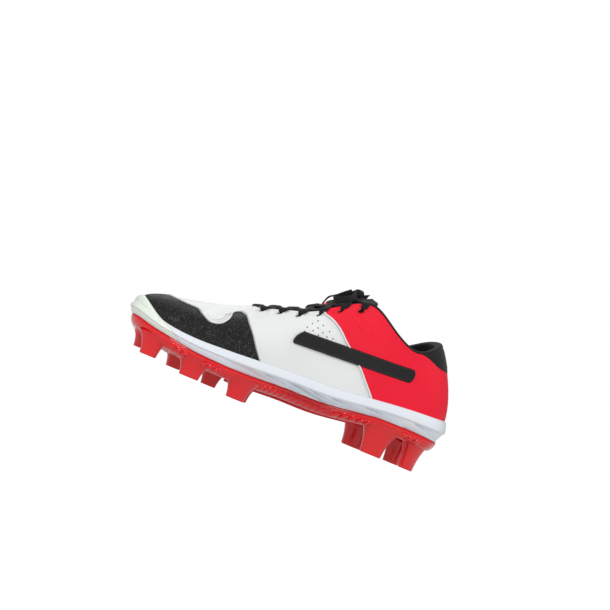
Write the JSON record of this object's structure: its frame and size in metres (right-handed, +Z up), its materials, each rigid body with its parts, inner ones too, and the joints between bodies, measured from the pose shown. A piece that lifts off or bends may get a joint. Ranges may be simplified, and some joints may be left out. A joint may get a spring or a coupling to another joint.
{
  "type": "baseball cleat",
  "caption": "Right low-top moulded baseball cleat: studded plate, cupped midsole, hollow laced upper with toe guard and heel quarter.",
  "frame": {"origin": "on the floor under the middle of the shoe's box", "axes": "toe along -X, inner side of the foot along -Y, +Z up"},
  "size_m": [0.295, 0.102, 0.1245],
  "materials": {
    "red_rubber": "glossy moulded red",
    "black_gloss": "glossy black",
    "white_foam": "smooth cool white foam skin",
    "black_textile": "black knitted lining",
    "lace_textile": "flat woven black",
    "collar_textile": "padded black mesh",
    "white_leather": "fine grained coated white",
    "black_synthetic": "textured coated black",
    "offwhite_rubber": "smooth off-white rubber",
    "red_synthetic": "smooth coated red"
  },
  "bodies": {
    "root": {"outsole": "red_rubber", "outsole_inlay": "black_gloss", "midsole": "white_foam", "insole": "black_textile", "upper": "white_leather", "tongue": "black_textile", "lace_crossings": "lace_textile", "toe_guard": "black_synthetic", "toe_bumper": "offwhite_rubber", "heel_quarter": "red_synthetic", "heel_tab": "collar_textile", "side_band_inner": "black_synthetic", "side_band_outer": "black_synthetic", "lace_knot": "lace_textile", "lace_loop_inner": "lace_textile", "lace_loop_outer": "lace_textile", "lace_end_inner": "lace_textile", "lace_end_outer": "lace_textile"}
  },
  "joints": []
}
